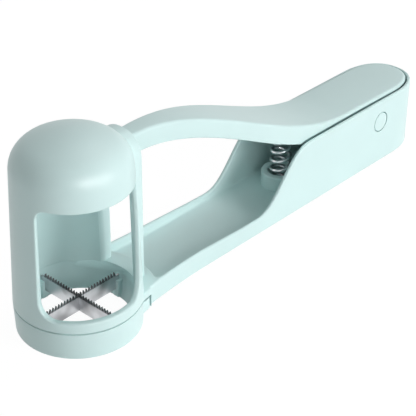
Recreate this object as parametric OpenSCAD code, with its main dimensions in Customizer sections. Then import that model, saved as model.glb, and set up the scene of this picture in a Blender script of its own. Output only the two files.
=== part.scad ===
// Lever-action grape slicer.
// A domed head holds the fruit above two crossed, serrated blades. Squeezing the lever against the
// lower handle swings a plunger down the head and pushes the fruit through the blades.
// X runs from the head axis to the handle's end, Z is up, and the head stands on Z = 0.

/* [Head] */
// Outer radius of the head's drafted wall, measured at Z = 0
head_r = 22.5; // [21:0.5:25]
// Height of the dome's crown above the foot
head_h = 72.9; // [70:0.5:80]
// Inward draft of the head wall, per mm of height
head_draft = 0.036; // [0:0.004:0.04]
// Thickness of the head wall
head_wall = 2.2; // [1.8:0.1:2.8]
// Radius of the dome's shoulder
shoulder_r = 10.5; // [9:0.5:13]
// Radius of the dome's crown
crown_r = 38; // [34:1:50]

/* [Window] */
// Direction of the window's middle, degrees from +X
window_turn = -117.2; // [-125:0.5:-110]
// Half the angle that the window spans
window_span = 50.8; // [44:0.5:54]
// Height of the window sill at the outer face
window_sill = 14.2; // [13:0.2:18]
// Depth of the window's upper edge below the crown
window_drop = 16.5; // [15:0.5:22]
// Radius of the window's lower corners
sill_corner = 6.5; // [4:0.5:8]
// Radius of the window's upper corners
lintel_corner = 2; // [1:0.25:4]

/* [Rear slot] */
// Half the width of the slot that the arm passes through
slot_half = 7.1; // [6:0.1:8]
// Height of the slot's sill
slot_sill = 11.6; // [11.2:0.1:14]
// Radius of the slot's corners
slot_corner = 4; // [2:0.5:5]
// Width of the raised collar round the slot
collar_w = 2.1; // [1.5:0.1:3]
// Distance that the collar stands out beyond that radius of the head
collar_proud = 0.1; // [0:0.1:2]

/* [Lower handle] */
// Distance from the head axis to the handle's end
handle_len = 178.6; // [165:1:195]
// Half the outer width of the handle
handle_half = 13.6; // [12.5:0.1:16]
// Thickness of the handle walls
handle_wall = 2.2; // [1.8:0.1:2.6]
// Height of the handle's underside
handle_z = 3.8; // [3.4:0.1:4.6]
// Thickness of the handle's floor
floor_t = 2.4; // [1.8:0.1:2.8]
// Height of the low walls beside the finger gap
low_wall = 9; // [8.6:0.1:10.4]
// Height of the rim beside the lid
rim_z = 31.2; // [30:0.2:34]
// Extra width and height of the handle where it meets the head
flare = 3; // [0:0.1:3.4]
// Distance from the head axis at which the flare ends
flare_end = 48; // [44:1:66]
// Length over which the walls rise to the rim
rise_len = 28.5; // [24:0.5:32]
// Distance of the rim's start ahead of the pivot
rise_lead = 43.3; // [42:0.1:48]
// Length of the flat land between the head and the channel
land_len = 4; // [3:0.5:8]

/* [Lever] */
// Depth of the arm's top below the crown
arm_drop = 9.1; // [8:0.1:10]
// Half the width of the arm at the head
arm_half = 3.7; // [3:0.1:5]
// Depth of the lever from its top to its underside
lever_t = 7.4; // [7:0.1:8.2]
// Height of the lid above the rim, where it begins to slope
lid_proud = 4.4; // [3.8:0.1:4.8]
// Distance that the lid falls from there to its end
lid_fall = 2.8; // [0:0.1:3]
// Gap between the lid and the handle walls
lid_gap = 0.4; // [0.3:0.05:0.8]
// Thickness of the lid's skin
lid_skin = 2.2; // [1.6:0.1:2.8]
// Distance behind the head at which the arm begins to fall
arm_lead = 5.6; // [3:0.1:8]
// Distance that the arm's nose reaches past the head axis
nose_reach = 5; // [4:0.5:6]
// Distance that the nose's underside rises towards its tip
nose_rise = 3.4; // [2:0.1:4]
// Distance ahead of the pivot at which the lid begins
lid_lead = 25.6; // [20:0.1:30]
// Distance ahead of the pivot at which the lever reaches its full width
taper_lead = 53.3; // [48:0.1:58]

/* [Pivot] */
// Distance of the pivot ahead of the handle's end
pivot_inset = 28.3; // [26:0.1:32]
// Depth of the pivot below the rim
pivot_drop = 9.4; // [9:0.1:10]
// Radius of the steel pivot pin
pin_r = 2; // [1.5:0.1:2.4]
// Radial clearance of the pin in the lever
pin_clear = 0.06; // [0.02:0.01:0.1]
// Radius of the flush plug over each end of the pin
plug_r = 3.8; // [3.4:0.1:5]
// Thickness of each plug
plug_t = 1.2; // [1:0.1:1.4]

/* [Return spring] */
// Distance of the spring ahead of the pivot
spring_lead = 45.3; // [42:0.1:46]
// Mean radius of the spring's coil
coil_r = 3.8; // [3.2:0.1:4]
// Diameter of the spring wire
wire_d = 1.3; // [0.8:0.1:1.4]
// Number of turns
coil_turns = 4.5; // [3.5:0.5:5]

/* [Base ring and blades] */
// Height of the seam between the head and the base ring
seam_z = 10.5; // [10.1:0.1:11]
// Height of the seam at the end of the ring's tongue
tongue_z = 8.4; // [7.6:0.1:9]
// Distance of the tongue's end inside that radius of the head
tongue_inset = 5.3; // [4.8:0.1:6]
// Thickness of the ring's wall
ring_wall = 4.5; // [4.1:0.1:5]
// Height of the blade tips
blade_tip = 11; // [10.4:0.1:11.2]
// Height of the blade strips, with their teeth
blade_h = 7; // [6:0.25:8]
// Thickness of the blade steel
blade_t = 0.6; // [0.4:0.05:0.8]
// Distance from tooth to tooth
tooth_pitch = 1.2; // [0.8:0.05:1.6]
// Height of a tooth
tooth_h = 1.5; // [0.8:0.1:2]
// Radius of the ring's lower edge
foot_round = 0.6; // [0.4:0.1:1.6]
// Distance that the ring's foot lies inside its upper edge
ring_lean = 0.6; // [0:0.1:1]

/* [Plunger] */
// Clearance between the plunger and the head's bore at its foot
plunger_gap = 5.3; // [5:0.1:6]
// Thickness of the plunger's disc
plunger_t = 5; // [4.6:0.1:5.4]
// Distance that the plunger reaches below the blade tips
plunger_reach = 1.2; // [0.6:0.1:1.6]
// Width of the grooves that clear the blades
groove_w = 2; // [1.6:0.1:3]
// Height of the hub between the plunger's disc and the arm, on the head axis
hub_h = 0.75; // [0.5:0.05:1.5]
// Radius of the hub under the arm
hub_r = 6.5; // [5.5:0.1:7.5]
// Radius of the screw's shank
screw_r = 1.4; // [1.2:0.1:1.6]

/* [Hidden] */
$fn = 64;
mint = [0.80, 0.91, 0.91];
steel = [0.80, 0.80, 0.82];
// Width of the parting gaps between the ring and the body
seam_gap = 0.25;
notch_gap = 0.7;
// Clearance of a seated piece, and of the ring's spigot in the head
seat_gap = 0.05;
spigot_gap = 0.35;
// Clearance between the arm and the slot's upper edge, where the lever rests
stop_gap = 0.4;
// Clearance between the hinge's lugs and bosses, and between the spring and its spigot
hinge_gap = 0.4;
spring_gap = 0.3;
// Overlap that keeps cuts and fused forms clean
eps = 0.1;
// Steps along a curved outline
steps = 28;

// Places worked out from the sizes above
pivot_x = handle_len - pivot_inset;
pivot_z = rim_z - pivot_drop;
spring_x = pivot_x - spring_lead;
end_x = handle_len - handle_half;
collar_x = head_r + collar_proud;
channel_x = head_r + land_len;
tongue_x = head_r - tongue_inset;
ring_bore = head_r - ring_wall;
rise_x1 = pivot_x - rise_lead;
rise_x0 = rise_x1 - rise_len;
floor_z = handle_z + floor_t;
channel_half = handle_half - handle_wall;
lid_half = channel_half - lid_gap;
lid_top = rim_z + lid_proud;
arm_top = head_h - arm_drop;
slot_top = arm_top + stop_gap;
window_top = head_h - window_drop;
head_axis_r = head_r - head_draft * (head_h - shoulder_r);

// The lever's curve runs level from the head, falls to the lid, and slopes on to the lid's end
arm_flat_x = head_r + arm_lead;
lid_flat_x = pivot_x - lid_lead;
taper_x0 = head_axis_r;
taper_x1 = pivot_x - taper_lead;
nose_x = -nose_reach;
nose_root = arm_flat_x - 3;

// Each hinge lug lies inside the lid's skirt, and a boss on the handle's wall faces it below the skirt
lug_r = pin_r + 3;
lug_t = 2.5;
lug_out = lid_half - lid_skin + eps;
lug_in = lug_out - lug_t;
lug_top = lever_top(pivot_x + lug_r) - lid_skin / 2;
boss_r = lever_under(pivot_x + lug_r) - pivot_z - hinge_gap;
boss_in = lug_out + hinge_gap;

// The spring stands in a cup on the floor and bears on a pad under the lever
pad_r = coil_r + wire_d / 2 + 0.7;
pad_h = 1.4;
cup_r = pad_r + 2;
cup_h = 6;
cup_floor = 2.2;
spring_z0 = floor_z + cup_floor;
spring_z1 = lever_top(spring_x) - lever_t - pad_h;
spigot_r = coil_r - wire_d / 2 - spring_gap;
spigot_len = 3;

// The plunger lies level and on the head axis at full squeeze, and the lever's travel follows from that
plunger_r = head_r - head_wall - plunger_gap;
plunger_z = blade_tip - plunger_reach;
arm_rise = lever_under(0) - pivot_z;
arm_fall = plunger_z + plunger_t + hub_h - pivot_z;
lever_travel = atan2(arm_rise, pivot_x) - asin(arm_fall / norm([arm_rise, pivot_x]));
groove_d = plunger_reach + 1.8;
screw_head_r = 2 * screw_r;
screw_head_t = 1.8;
screw_head_z = blade_tip + 1.2;
screw_len = 10;
screw_bevel = 0.5;

// The seam dips from the head to the tongue between these places
seam_dip_x = tongue_x - 8.2;
seam_low_x = tongue_x - 1.5;

// Each blade lies in two seats on the ring's bore and is let into the wall behind them
blade_z = blade_tip - blade_h;
blade_in = 0.8;
blade_len = ring_bore + blade_in;
seat_reach = 1.1;
seat_w = 4;
ring_spigot_z = slot_sill - 0.2;
ring_spigot_r = head_r - head_draft * seam_z - head_wall - spigot_gap;

// Eased step from 0 to 1
function ease(t) = let (c = min(max(t, 0), 1)) c * c * (3 - 2 * c);
// Share of the flare that is left at x
function flare_at(x) = flare * pow(max(flare_end - x, 0) / (flare_end - tongue_x), 2);
function handle_at(x) = handle_half + flare_at(x);
function wall_at(x) = low_wall + flare_at(x) + (rim_z - low_wall) * ease((x - rise_x0) / rise_len);
function lid_slope(x) = lid_fall * pow(max(x - lid_flat_x, 0) / (handle_len - lid_flat_x), 1.5);
function lever_top(x) =
    arm_top + (lid_top - arm_top) * ease((x - arm_flat_x) / (lid_flat_x - arm_flat_x)) - lid_slope(x);
function lever_under(x) = lever_top(x) - lever_t + nose_rise * max(nose_root - x, 0) / nose_root;
function lever_half(x) = arm_half + (lid_half - arm_half) * ease((x - taper_x0) / (taper_x1 - taper_x0));
function seam_at(x) = seam_z + (tongue_z - seam_z) * ease((x - seam_dip_x) / (seam_low_x - seam_dip_x));
function head_at(z) = head_r - head_draft * z;
// Points of an arc, from angle a to angle b
function arc(cx, cy, r, a, b, n) =
    [for (i = [0:n]) let (t = a + (b - a) * i / n) [cx + r * cos(t), cy + r * sin(t)]];
// Evenly spaced stations from a to b
function stations(a, b, n) = [for (i = [0:n]) a + (b - a) * i / n];
// A half outline and its mirror image across the X axis
function mirrored(half) = concat(half, [for (i = [len(half) - 1:-1:0]) [half[i][0], -half[i][1]]]);

// Half section of the head, set in by the wall's thickness for the bore
module head_section(inset, z0) {
    r = shoulder_r - inset;
    cx = head_axis_r - shoulder_r;
    cr = crown_r - inset;
    cz = head_h - crown_r;
    sz = cz + sqrt(pow(crown_r - shoulder_r, 2) - cx * cx);
    turn = atan2(sz - cz, cx);
    polygon(concat(
        [[0, z0], [head_at(z0) - inset, z0]],
        arc(cx, sz, r, 0, turn, 10),
        [for (p = arc(0, cz, cr, turn, 90, 6)) if (p[0] < cx + r * cos(turn) - eps) [max(p[0], 0), p[1]]]));
}

// Upright outline of the window, with its lower and upper corner radii
module window_outline() {
    half = head_r * sin(window_span);
    top = window_top;
    polygon(concat(
        arc(half - lintel_corner, top - lintel_corner, lintel_corner, 0, 90, 6),
        arc(lintel_corner - half, top - lintel_corner, lintel_corner, 90, 180, 6),
        arc(sill_corner - half, window_sill + sill_corner, sill_corner, 180, 270, 8),
        arc(half - sill_corner, window_sill + sill_corner, sill_corner, 270, 360, 8)));
}

// Window opening: radial side faces, trimmed to the outline
module window_cut() {
    far = head_r + 10;
    rotate([0, 0, window_turn]) intersection() {
        along_x(6, far) window_outline();
        rotate([0, 0, -window_span]) rotate_extrude(angle = 2 * window_span)
            translate([4, 0]) square([far, head_h]);
    }
}

// Upright rounded outline of the slot, grown by a margin for its collar
module slot_outline(grow, z0, corner) {
    w = slot_half + grow;
    r = slot_corner + 2 * grow;
    top = slot_top + grow;
    polygon(concat(
        arc(w - r, top - r, r, 0, 90, 8),
        arc(r - w, top - r, r, 90, 180, 8),
        corner == 0 ? [[-w, z0], [w, z0]]
                    : concat(arc(corner - w, z0 + corner, corner, 180, 270, 6),
                             arc(w - corner, z0 + corner, corner, 270, 360, 6))));
}

// Sweeps an upright YZ outline along X
module along_x(x0, x1) {
    translate([x0, 0, 0]) rotate([90, 0, 90]) linear_extrude(x1 - x0) children();
}

// Sweeps an XZ outline along Y, by a half width to each side
module across(half) {
    translate([0, half, 0]) rotate([90, 0, 0]) linear_extrude(2 * half) children();
}

// Plan outline of the handle, set in by the wall's thickness for the channel
module handle_plan(x0, inset) {
    straight = [for (x = stations(x0, flare_end, steps)) [x, handle_at(x) - inset]];
    polygon(mirrored(concat(straight, arc(end_x, 0, handle_half - inset, 90, 0, 16))));
}

// Side outline of the handle, with its rising wall
module handle_side(x0) {
    crest = [for (x = stations(x0, rise_x1, 3 * steps)) [x, wall_at(x)]];
    polygon(concat([[x0, handle_z]], crest, [[handle_len + 1, rim_z], [handle_len + 1, handle_z]]));
}

// Space of the base ring below the seam, widened by two gaps for the body's cut
module under_seam(gap, notch) {
    far = head_r + 20;
    dip = [for (x = stations(seam_dip_x, seam_low_x, 10)) [x, seam_at(x) + gap]];
    intersection() {
        across(far)
            polygon(concat([[-far, -1], [-far, seam_z + gap]], dip, [[far, tongue_z + gap], [far, -1]]));
        union() {
            translate([0, 0, -1]) cylinder(h = seam_z + 2, r = head_r + gap);
            translate([-far, -far, -1]) cube([far + tongue_x + notch, 2 * far, seam_z + 2]);
        }
    }
}

// Cylinder across the handle at the pivot, from y0 to y1
module at_pivot(r, y0, y1) {
    translate([pivot_x, y1, pivot_z]) rotate([90, 0, 0]) cylinder(h = y1 - y0, r = r);
}

// A form on the far side and its mirror image on the near side
module both_sides() {
    children();
    mirror([0, 1, 0]) children();
}

// Domed head and channel-shaped lower handle, moulded in one piece
module body() {
    color(mint) difference() {
        union() {
            difference() {
                union() {
                    rotate_extrude() head_section(0, 0);
                    along_x(10, collar_x) slot_outline(collar_w, handle_z, 0);
                    intersection() {
                        linear_extrude(rim_z + 1) handle_plan(10, 0);
                        across(2 * head_r) handle_side(10);
                    }
                }
                rotate_extrude() head_section(head_wall, -1);
                window_cut();
                along_x(0, channel_x) slot_outline(0, slot_sill, slot_corner);
                translate([0, 0, floor_z]) linear_extrude(rim_z) handle_plan(channel_x, handle_wall);
            }
            both_sides() at_pivot(boss_r, boss_in, channel_half + eps);
            translate([spring_x, 0, floor_z - eps]) cylinder(h = cup_h + eps, r = cup_r);
        }
        under_seam(seam_gap, notch_gap);
        at_pivot(pin_r + seat_gap, -handle_half - 1, handle_half + 1);
        both_sides() at_pivot(plug_r + 2 * seat_gap, handle_half - plug_t, handle_half + 1);
        translate([spring_x, 0, spring_z0]) cylinder(h = cup_h, r = pad_r);
    }
}

// Half section of the ring's outside, with a rounded foot
module ring_section() {
    foot_r = head_at(seam_z) - ring_lean;
    polygon(concat([[0, 0]], arc(foot_r - foot_round, foot_round, foot_round, -90, 0, 6),
                   [[head_at(seam_z), seam_z], [head_at(seam_z), seam_z + 1], [0, seam_z + 1]]));
}

// Removable ring under the head, with a tongue below the handle and seats for the blades
module base_ring() {
    color(mint) difference() {
        union() {
            intersection() {
                union() {
                    rotate_extrude() ring_section();
                    translate([0, 0, handle_z]) linear_extrude(seam_z) handle_plan(10, 0);
                }
                under_seam(0, 0);
            }
            cylinder(h = ring_spigot_z, r = ring_spigot_r);
        }
        difference() {
            translate([0, 0, -1]) cylinder(h = ring_spigot_z + 2, r = ring_bore);
            for (a = [0:90:270])
                rotate([0, 0, a]) translate([ring_bore - seat_reach, -seat_w / 2, blade_z - 1])
                    cube([seat_reach + 1, seat_w, blade_h + 1]);
        }
        for (a = [0:90:270])
            rotate([0, 0, a]) translate([ring_bore - 2, -blade_t / 2 - seat_gap, blade_z - seat_gap])
                cube([blade_in + 2 + seat_gap, blade_t + 2 * seat_gap, ring_spigot_z]);
    }
}

// Blade strip along X with a serrated upper edge and a half-depth notch at its middle
module blade(notch_up) {
    count = floor(2 * (ring_bore - seat_reach) / tooth_pitch);
    half = count * tooth_pitch / 2;
    root = blade_tip - tooth_h;
    middle = blade_tip - blade_h / 2;
    notch = blade_t / 2 + seat_gap;
    teeth = [for (i = [0:count - 1], k = [0, 0.5])
        [half - (i + k) * tooth_pitch, k == 0 ? root : blade_tip]];
    color(steel) difference() {
        across(blade_t / 2)
            polygon(concat([[-blade_len, blade_z], [blade_len, blade_z], [blade_len, root]], teeth,
                           [[-half, root], [-blade_len, root]]));
        translate([-notch, -blade_t, notch_up ? middle - seat_gap : blade_z - 1])
            cube([2 * notch, 2 * blade_t, notch_up ? blade_h : middle + seat_gap - blade_z + 1]);
    }
}

// Blade along the handle's direction, notched from above
module blade_long() {
    blade(true);
}

// Blade across it, notched from below
module blade_cross() {
    rotate([0, 0, 90]) blade(false);
}

// Side outline of the lever
module lever_side() {
    lid = stations(lid_flat_x, handle_len, 10);
    xs = concat([nose_x, nose_root], stations(arm_flat_x, lid_flat_x, steps), [for (i = [1:10]) lid[i]]);
    polygon(concat([for (x = xs) [x, lever_top(x)]],
                   [for (i = [len(xs) - 1:-1:0]) [xs[i], lever_under(xs[i])]]));
}

// Plan outline of the lever: slim arm, flared body and round end
module lever_plan() {
    nose = arc(nose_x + arm_half, 0, arm_half, 180, 90, 6);
    flank = [for (x = stations(taper_x0, taper_x1, steps)) [x, lever_half(x)]];
    polygon(mirrored(concat(nose, flank, arc(end_x, 0, lid_half, 90, 0, 16))));
}

// Turns a form from full squeeze back to rest
module to_rest() {
    pivot = [pivot_x, 0, pivot_z];
    translate(pivot) rotate([0, lever_travel, 0]) translate(-pivot) children();
}

// Arm and lid, hollow under the lid, with hinge lugs and a pad for the spring
module lever() {
    hollow_x = spring_x + pad_r + 3;
    hollow_half = lid_half - lid_skin;
    color(mint) difference() {
        union() {
            difference() {
                intersection() {
                    linear_extrude(head_h) lever_plan();
                    across(lid_half + 1) lever_side();
                }
                intersection() {
                    linear_extrude(lid_top)
                        polygon(mirrored(concat([[hollow_x, hollow_half]],
                                                arc(end_x, 0, hollow_half, 90, 0, 12))));
                    translate([0, 0, -lid_skin]) across(lid_half) lever_side();
                }
            }
            both_sides() {
                at_pivot(lug_r, lug_in, lug_out);
                translate([pivot_x - lug_r, lug_in, pivot_z])
                    cube([2 * lug_r, lug_out - lug_in, lug_top - pivot_z]);
            }
            translate([spring_x, 0, spring_z1]) cylinder(h = lever_t / 2, r = pad_r);
            translate([spring_x, 0, spring_z1 - spigot_len]) cylinder(h = lever_t, r = spigot_r);
        }
        at_pivot(pin_r + pin_clear, -lid_half, lid_half);
        to_rest() translate([0, 0, screw_head_z]) cylinder(h = screw_len + 1, r = screw_r + seat_gap);
    }
}

// Disc that pushes the fruit, with grooves for the blades and a hub under the arm
module plunger() {
    color(mint) difference() {
        to_rest() difference() {
            union() {
                translate([0, 0, plunger_z]) cylinder(h = plunger_t, r = plunger_r);
                translate([0, 0, plunger_z]) cylinder(h = 4 * plunger_t, r = hub_r);
            }
            for (a = [0, 90])
                rotate([0, 0, a]) translate([-plunger_r - 1, -groove_w / 2, plunger_z - 1])
                    cube([2 * plunger_r + 2, groove_w, groove_d + 1]);
            translate([0, 0, plunger_z - 1]) cylinder(h = 4 * plunger_t + 2, r = screw_r + seat_gap);
            translate([0, 0, plunger_z - 1])
                cylinder(h = screw_head_z + screw_head_t - plunger_z + 1, r = screw_head_r + seat_gap);
        }
        across(2 * hub_r)
            polygon([[-head_r, lever_under(-head_r)], [nose_root, lever_under(nose_root)],
                     [nose_root, 2 * head_h], [-head_r, 2 * head_h]]);
    }
}

// Screw that holds the plunger to the arm
module plunger_screw() {
    color(steel) to_rest() translate([0, 0, screw_head_z]) rotate_extrude()
        polygon([[0, 0], [screw_head_r - screw_bevel, 0], [screw_head_r, screw_bevel],
                 [screw_head_r, screw_head_t], [screw_r, screw_head_t],
                 [screw_r, screw_len - screw_bevel], [screw_r - screw_bevel, screw_len], [0, screw_len]]);
}

// Compression spring between the cup and the lever
module return_spring() {
    sides = 8;
    per_turn = 20;
    n = round(coil_turns * per_turn);
    z0 = spring_z0 + wire_d / 2 + seat_gap;
    z1 = spring_z1 - wire_d / 2 - seat_gap;
    ring = function (i) let (a = 360 * i / per_turn, z = z0 + (z1 - z0) * i / n)
        [for (k = [0:sides - 1]) let (b = 360 * k / sides, r = coil_r + wire_d / 2 * cos(b))
            [spring_x + r * cos(a), r * sin(a), z + wire_d / 2 * sin(b)]];
    points = [for (i = [0:n]) each ring(i)];
    skin = [for (i = [0:n - 1], k = [0:sides - 1])
        let (a = i * sides, b = a + sides, next = (k + 1) % sides) [a + k, b + k, b + next, a + next]];
    ends = [[for (k = [0:sides - 1]) k], [for (k = [sides - 1:-1:0]) n * sides + k]];
    color(steel) polyhedron(points = points, faces = concat(skin, ends), convexity = 10);
}

// Steel pin that the lever turns on
module pivot_pin() {
    reach = handle_half - plug_t - seat_gap;
    color(steel) at_pivot(pin_r, -reach, reach);
}

// Flush plug over the pin's near end
module pin_plug_near() {
    color(mint) at_pivot(plug_r, -handle_half, plug_t - handle_half);
}

// Flush plug over the pin's far end
module pin_plug_far() {
    color(mint) at_pivot(plug_r, handle_half - plug_t, handle_half);
}

body();
base_ring();
blade_long();
blade_cross();
lever();
plunger();
plunger_screw();
return_spring();
pivot_pin();
pin_plug_near();
pin_plug_far();
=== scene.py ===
"""Looks of a lever-action grape slicer: mint plastic mouldings round steel blades and a spring."""

import math
from math import atan2, cos, hypot, pi, radians, sin, sqrt
from types import SimpleNamespace

import bmesh
import bpy
from bpy.props import FloatProperty, PointerProperty, StringProperty
from bpy.types import Operator, Panel, PropertyGroup
from mathutils import Matrix, Vector


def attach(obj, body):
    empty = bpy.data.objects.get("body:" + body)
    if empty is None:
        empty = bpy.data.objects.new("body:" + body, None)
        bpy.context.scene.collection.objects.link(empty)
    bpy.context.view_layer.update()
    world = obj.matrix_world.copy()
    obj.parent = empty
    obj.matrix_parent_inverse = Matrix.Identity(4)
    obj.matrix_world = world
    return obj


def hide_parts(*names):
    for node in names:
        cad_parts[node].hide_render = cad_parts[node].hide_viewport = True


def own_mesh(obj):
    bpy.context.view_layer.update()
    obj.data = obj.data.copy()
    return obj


bl_info = {
    "name": "Grape slicer",
    "version": (1, 0, 0),
    "blender": (4, 5, 0),
    "location": "3D View > Sidebar > Slicer",
    "description": "Models the plastic, steel and stage of a lever-action grape slicer",
    "category": "Add Mesh",
}

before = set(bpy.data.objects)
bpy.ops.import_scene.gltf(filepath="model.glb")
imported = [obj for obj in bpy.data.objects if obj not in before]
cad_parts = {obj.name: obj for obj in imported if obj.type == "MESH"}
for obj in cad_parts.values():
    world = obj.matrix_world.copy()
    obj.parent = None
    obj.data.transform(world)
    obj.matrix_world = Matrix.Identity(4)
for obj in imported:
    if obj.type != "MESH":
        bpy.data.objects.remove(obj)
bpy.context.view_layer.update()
MM = 0.001
# Millimetres within which two places count as one, while drawing and on a finished mesh
FINE, NEAR = 0.001, 0.01
# Degrees up to which faces are shaded as one, and from which edges are rounded
SMOOTH, SHARP = 32, 50
# Cosine from which a face counts as facing a way, and millimetres between the sections of a moulding
FACING, STEP = 0.9, 2.0


# Sizes and colours that a user would change

def length(name, description, mm):
    """A length property whose default is given in millimetres."""
    return FloatProperty(name=name, description=description, default=mm * MM, unit="LENGTH", precision=5)


def direction(name, description, degrees):
    """An angle property whose default is given in degrees."""
    return FloatProperty(name=name, description=description, default=radians(degrees), subtype="ANGLE")


class SlicerHead(PropertyGroup):
    """Sizes of the domed head."""

    radius: length("Radius", "Outer radius of the head's drafted wall, measured at its foot", 22.5)
    height: length("Height", "Height of the crown", 72.9)
    wall: length("Wall", "Thickness of the wall up to the window's sill", 2.2)
    wall_top: length("Upper wall", "Thickness of the wall from the window's upper edge on", 1.4)
    neck: length("Neck radius", "Outer radius of the head where the shoulder begins", 20.254)
    shoulder: length("Shoulder", "Radius of the dome's shoulder", 10.5)
    crown: length("Crown", "Radius of the dome's crown", 38.0)
    seam: length("Seam", "Height of the seam above the ring", 9.95)
    seam_low: length("Low seam", "Height of the seam at the ring's tongue", 8.4)
    seam_gap: length("Seam gap", "Width of the gap at the seam", 0.6)
    tongue: length("Tongue end", "Distance from the head axis to the end of the ring's tongue", 17.2)
    window_low: length("Window sill", "Height of the window's sill", 14.2)
    window_high: length("Window head", "Height of the window's upper edge", 55.2)
    window_from: direction("Window start", "Direction of the window's left edge", 192.0)
    window_to: direction("Window end", "Direction of the middle of the window's right edge", 308.5)
    window_slant: direction("Window slant", "Turn of the window's right edge from sill to upper edge", 22.0)
    sill_corner: length("Sill corner", "Radius of the window's lower corners", 6.5)
    lintel_corner: length("Upper left corner", "Radius of the window's upper left corner", 4.0)
    lintel_sharp: length("Upper right corner", "Radius of the window's upper right corner", 1.4)
    sill_lift: length("Sill lift", "Rise of the sill from the outer to the inner face", 0.3)
    edge_round: length("Edge rounding", "Radius of the window's edges", 0.6)
    slot_half: length("Slot half width", "Half the width of the rear slot", 7.1)
    slot_high: length("Slot head", "Height of the rear slot's upper edge", 64.2)
    slot_corner: length("Slot corner", "Radius of the rear slot's upper corners", 4.0)
    collar: length("Collar", "Width of the rim round the slot", 2.1)
    collar_back: length("Collar back", "Distance of the rim's rear face from the head axis", 22.6)


class SlicerHandle(PropertyGroup):
    """Sizes of the lower handle."""

    end: length("End", "Distance from the head axis to the handle's end", 178.6)
    half: length("Half width", "Half the outer width", 13.6)
    round_end: length("Round end", "Length of the round end", 18.6)
    end_wall: length("End wall", "Thickness of the wall at the very end", 1.05)
    wall: length("Wall", "Thickness of the walls", 1.5)
    under: length("Underside", "Height of the underside", 3.8)
    floor: length("Floor", "Thickness of the channel's floor at the spring", 2.4)
    floor_rise: length("Floor rise", "Rise of the channel's floor towards the head", 1.7)
    low_wall: length("Low wall", "Height of the walls beside the finger gap", 10.4)
    rim: length("Rim", "Height of the rim beside the lid", 31.2)
    flare: length("Flare", "Extra half width at the head", 3.0)
    lift: length("Lift", "Extra height of the walls at the head", 1.0)
    flare_end: length("Flare end", "Where the flare ends", 48.0)
    rise_from: length("Rise start", "Where the walls begin to rise", 75.5)
    rise_to: length("Rise end", "Where the walls reach the rim", 107.0)
    front: length("Channel front", "Where the channel begins", 27.2)
    corner: length("Front corner", "Radius of the channel's front corners", 2.4)
    foot_round: length("Lower rounding", "Radius of the lower edges", 0.4)
    rim_round: length("Rim rounding", "Radius of the rim's outer edge", 0.7)
    lip_round: length("Lip rounding", "Radius of the rim's inner edge", 0.8)


class SlicerLever(PropertyGroup):
    """Sizes of the lever."""

    arm_top: length("Arm top", "Height of the arm's top at the head", 63.8)
    lid_top: length("Lid top", "Height of the lid's top where it begins to slope", 32.6)
    lid_fall: length("Lid fall", "Distance that the lid falls to its end", 0.7)
    depth: length("Depth", "Depth of the arm", 7.4)
    lid_depth: length("Lid depth", "Depth of the lid", 8.0)
    tuck: length("Tuck", "Distance that the lid's sides step in below the rim", 1.3)
    arm_half: length("Arm half width", "Half the width of the arm at the head", 3.7)
    lid_half: length("Lid half width", "Half the width of the lid", 11.55)
    skin: length("Skin", "Thickness of the lid's skin", 2.2)
    arm_flat: length("Arm flat", "Where the arm begins to fall", 28.1)
    lid_start: length("Lid start", "Where the lid begins to slope", 131.2)
    taper_from: length("Taper start", "Where the arm begins to widen", 20.25)
    taper_to: length("Taper end", "Where the lever reaches its full width", 97.0)
    hollow: length("Hollow", "Where the hollow under the lid begins", 113.1)
    nose: length("Nose", "Distance that the arm reaches past the head axis", 5.0)
    nose_rise: length("Nose rise", "Rise of the nose's underside", 3.4)
    arm_round: length("Arm rounding", "Radius of the arm's upper edges", 1.2)
    lid_round: length("Lid rounding", "Radius of the lid's upper edges", 1.2)


class SlicerWorks(PropertyGroup):
    """Sizes of the ring, hinge and spring."""

    bore: length("Ring bore", "Radius of the ring's bore", 18.0)
    spigot: length("Ring spigot", "Outer radius of the ring's spigot", 19.75)
    spigot_top: length("Spigot top", "Height of the ring's spigot", 11.2)
    foot: length("Ring foot", "Radius of the ring's lower edge", 0.4)
    lean: length("Ring lean", "Distance that the ring's foot lies inside its upper edge", 0.35)
    pivot_x: length("Pivot place", "Distance of the pivot from the head axis", 150.3)
    pivot_z: length("Pivot height", "Height of the pivot", 21.8)
    plug: length("Plug radius", "Radius of the plugs over the pin", 3.8)
    spring_x: length("Spring place", "Distance of the spring from the head axis", 105.0)
    spring_low: length("Spring foot", "Height of the spring's foot", 8.4)
    spring_high: length("Spring top", "Height of the spring's top", 28.2)
    coil: length("Coil radius", "Mean radius of the coil", 3.5)
    wire: length("Wire radius", "Radius of the spring wire", 0.75)


class SlicerBlades(PropertyGroup):
    """Sizes of the blades."""

    low: length("Lower edge", "Height of the blades' lower edge", 4.0)
    tip: length("Tips", "Height of the teeth's tips", 11.0)
    tooth: length("Tooth", "Height of a tooth", 1.5)
    pitch: length("Pitch", "Distance from tooth to tooth", 1.3)
    toothed: length("Toothed half", "Distance of the outermost tooth from the head axis", 17.3)
    reach: length("Reach", "Half the length of a blade", 18.8)
    thick: length("Thickness", "Thickness of a blade", 0.6)


class SlicerColours(PropertyGroup):
    """Colours as sRGB hex values."""

    plastic: StringProperty(name="Plastic", description="Mint moulded plastic", default="D1EAE9")
    steel: StringProperty(name="Steel", description="Blade, spring and pin steel", default="D6D7DA")
    floor: StringProperty(name="Floor", description="Studio floor", default="F2F2F2")


def sizes(group):
    """The lengths of one property group in millimetres, and its angles in radians."""
    props = getattr(bpy.context.scene, "slicer_" + group)
    found = {}
    for key in props.__annotations__:
        is_angle = props.bl_rna.properties[key].subtype == "ANGLE"
        found[key] = getattr(props, key) if is_angle else getattr(props, key) / MM
    return SimpleNamespace(**found)


# Modelling as by hand, in millimetres

def ease(t):
    """Eased step from 0 to 1."""
    t = min(max(t, 0.0), 1.0)
    return t * t * (3.0 - 2.0 * t)


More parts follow.
